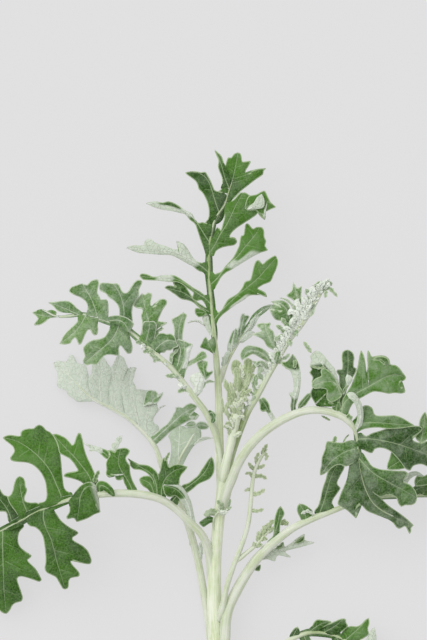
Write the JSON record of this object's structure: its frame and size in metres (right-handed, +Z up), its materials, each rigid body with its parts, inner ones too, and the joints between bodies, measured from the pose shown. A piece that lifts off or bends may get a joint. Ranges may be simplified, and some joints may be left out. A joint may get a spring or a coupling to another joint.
{
  "type": "cut stem of dusty miller",
  "caption": "Cut leafy stem of dusty miller lying on a surface: deeply lobed leaves, green above and white-felted below, on a pale stem with side shoots.",
  "frame": {"origin": "on the surface it lies on, under the middle of its bounding box", "axes": "+Z up, +Y along the stem from the cut end to the top leaf, +X to the side of the large right-hand leaves"},
  "size_m": [0.2254, 0.2544, 0.0518],
  "materials": {
    "stem_felt": "matt, pale whitish green under a thin white felt",
    "leaf_green": "matt green with a thin white felt in the hollows, pale veins and thin white margins; white-felted below",
    "leaf_pale": "matt, pale grey-green to white felt with raised pale veins"
  },
  "bodies": {
    "root": {"stem": "stem_felt", "leaf_top": "leaf_green", "leaf_upper_left": "leaf_green", "leaf_lower_left": "leaf_green", "shoot_upper_right": "leaf_green", "shoot_centre": "leaf_green", "leaf_right": "leaf_green", "leaf_lower_right": "leaf_green", "leaf_base_right": "leaf_green", "leaf_top_side": "leaf_pale", "leaf_back_left": "leaf_pale", "shoot_axil": "leaf_pale", "leaf_stem_small": "leaf_pale"}
  },
  "joints": []
}
